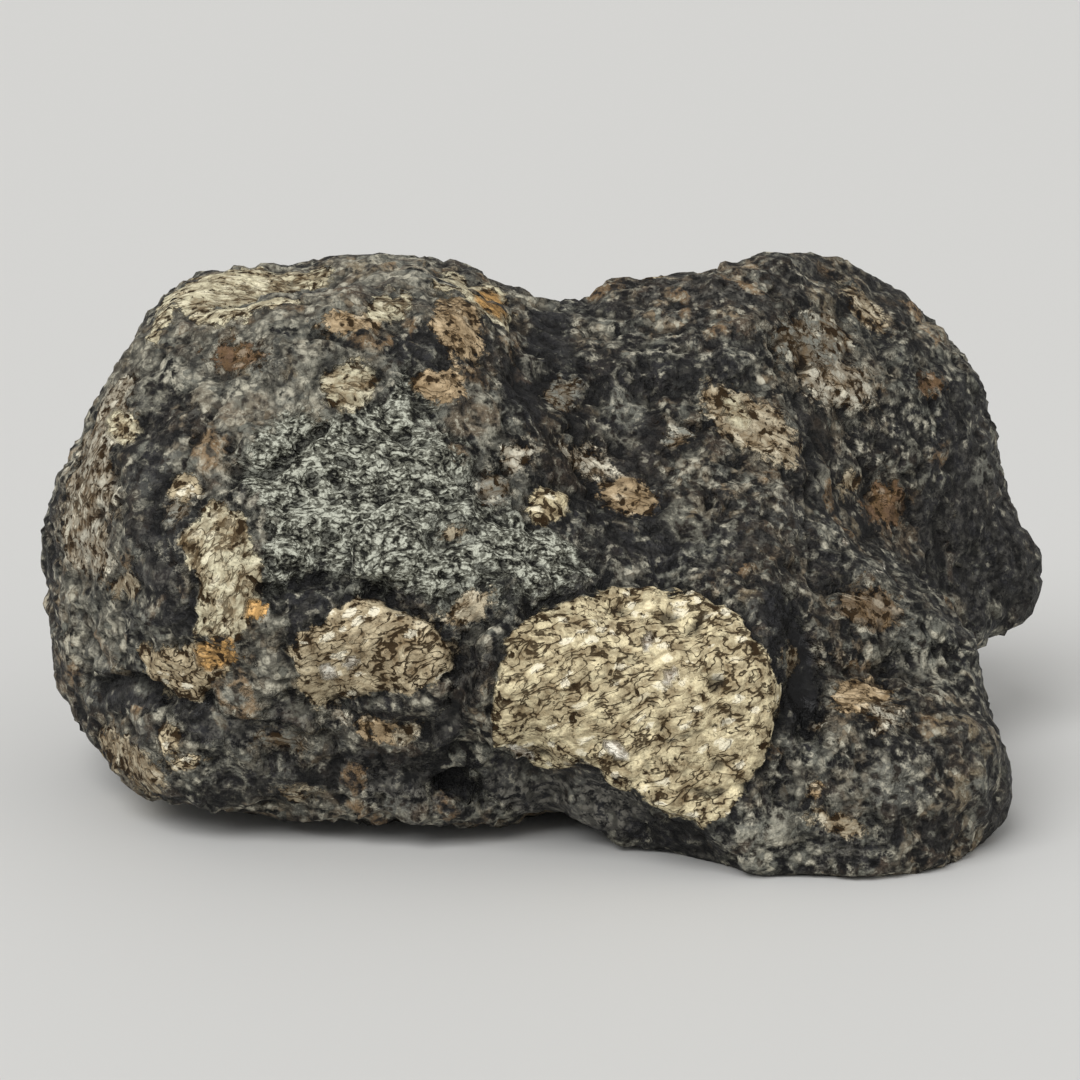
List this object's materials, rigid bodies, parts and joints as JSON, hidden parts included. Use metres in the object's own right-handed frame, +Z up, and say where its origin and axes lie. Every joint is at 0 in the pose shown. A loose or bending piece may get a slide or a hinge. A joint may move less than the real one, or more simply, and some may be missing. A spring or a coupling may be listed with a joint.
{
  "type": "eucrite melt breccia",
  "caption": "Palm-sized natural stone of dark melt holding pale clasts: a rounded block, a tall lump, a valley between them and a low foot, resting on flat spots.",
  "frame": {"origin": "under the middle of the stone's box, on the level that it rests on", "axes": "+X along the stone's length, from the rounded block to the lump, -Y out of the face with the large cream clast, +Z up"},
  "size_m": [0.0746, 0.0498, 0.0374],
  "materials": {
    "melt_breccia": "near-black glassy melt with a slight sheen and fine grey specks, holding matt cream, tan and rust-brown clasts with needle laths and brown pores"
  },
  "bodies": {
    "root": {"stone": "melt_breccia"}
  },
  "joints": []
}
